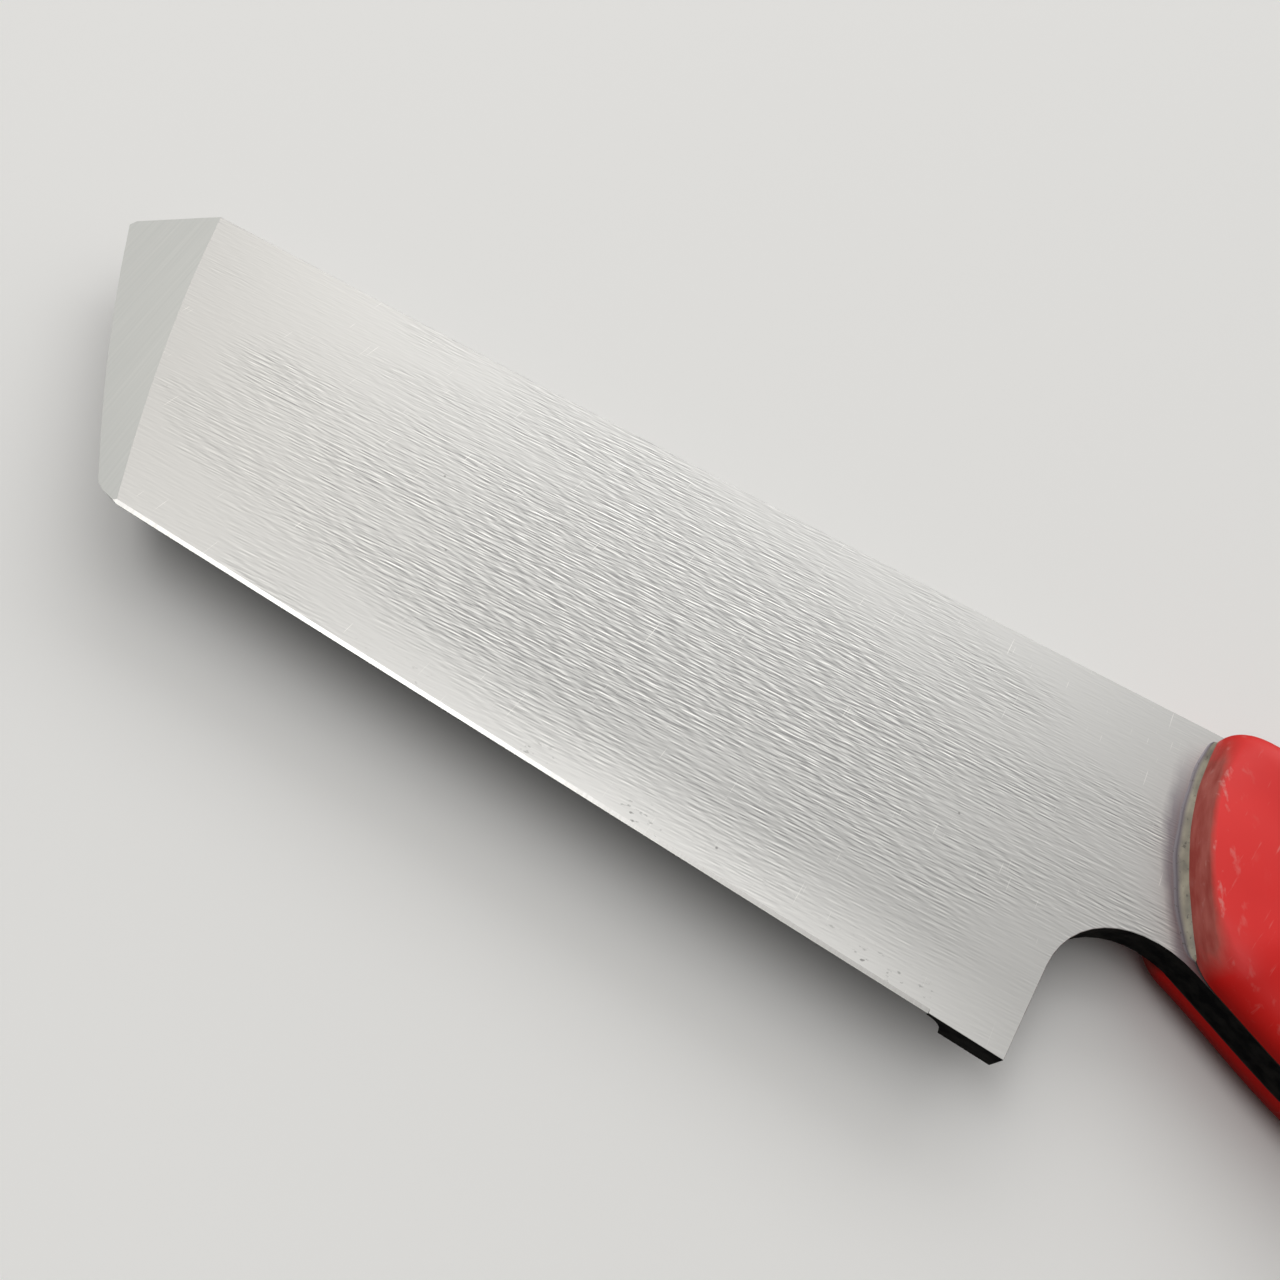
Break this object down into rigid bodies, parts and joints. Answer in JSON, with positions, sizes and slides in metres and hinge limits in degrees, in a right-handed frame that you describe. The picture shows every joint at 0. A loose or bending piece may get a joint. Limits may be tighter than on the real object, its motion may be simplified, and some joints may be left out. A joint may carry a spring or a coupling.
{
  "type": "fixed-blade knife",
  "caption": "Full-tang knife with a deep straight blade, a slanted chisel-ground tip, a round finger notch and red riveted handle scales.",
  "frame": {"origin": "middle of the knife's length and depth, on the surface that the right scale lies on", "axes": "+X along the spine from the tip to the butt, +Y from the edge to the spine, +Z out of the left face with the tip bevel"},
  "size_m": [0.2525, 0.046, 0.0145],
  "materials": {
    "blade_steel": "satin, ground along the blade",
    "red_scale": "satin, scuffed",
    "bond": "cured resin",
    "bead": "cured resin, cloudy",
    "rivet_steel": "ground flush"
  },
  "bodies": {
    "root": {"blade": "blade_steel", "left_scale": "red_scale", "right_scale": "red_scale", "left_bond_film": "bond", "right_bond_film": "bond", "left_seal_bead": "bead", "right_seal_bead": "bead", "front_rivet_post": "rivet_steel", "front_rivet_sleeve": "rivet_steel", "middle_rivet_post": "rivet_steel", "middle_rivet_sleeve": "rivet_steel", "rear_rivet_post": "rivet_steel", "rear_rivet_sleeve": "rivet_steel"}
  },
  "joints": []
}
